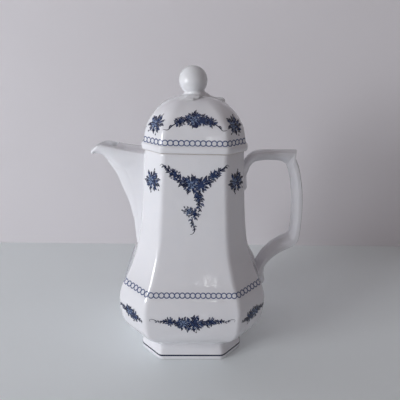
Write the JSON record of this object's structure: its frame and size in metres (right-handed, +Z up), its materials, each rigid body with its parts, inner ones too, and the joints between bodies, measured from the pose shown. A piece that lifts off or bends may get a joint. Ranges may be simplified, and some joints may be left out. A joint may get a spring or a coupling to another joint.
{
  "type": "chocolate pot",
  "caption": "Tall porcelain pot, square in plan with cut corners, with a beaked spout, an angular handle and a domed lift-off lid with a fruit knob.",
  "frame": {"origin": "on the ground, at the middle of the foot ring, on the pot's upright axis", "axes": "+Z up, +X toward the handle, -X toward the spout, -Y toward the viewer of the printed front"},
  "size_m": [0.1821, 0.1236, 0.2455],
  "materials": {
    "porcelain": "clear-glazed white hard porcelain"
  },
  "bodies": {
    "pot": {"pot_body": "porcelain", "foot_ring": "porcelain", "spout": "porcelain", "handle": "porcelain", "handle_leaf_top": "porcelain", "handle_leaf_low": "porcelain", "handle_curl": "porcelain"},
    "lid": {"lid_dome": "porcelain", "lid_collar": "porcelain", "knob_cup": "porcelain", "knob_fruit": "porcelain", "knob_twig": "porcelain", "knob_leaf_front": "porcelain", "knob_leaf_back": "porcelain"}
  },
  "joints": [
    {"name": "lid_lift", "type": "slide", "parent": "pot", "child": "lid", "axis": [0, 0, 1], "range_m": [0, 0.06]}
  ]
}
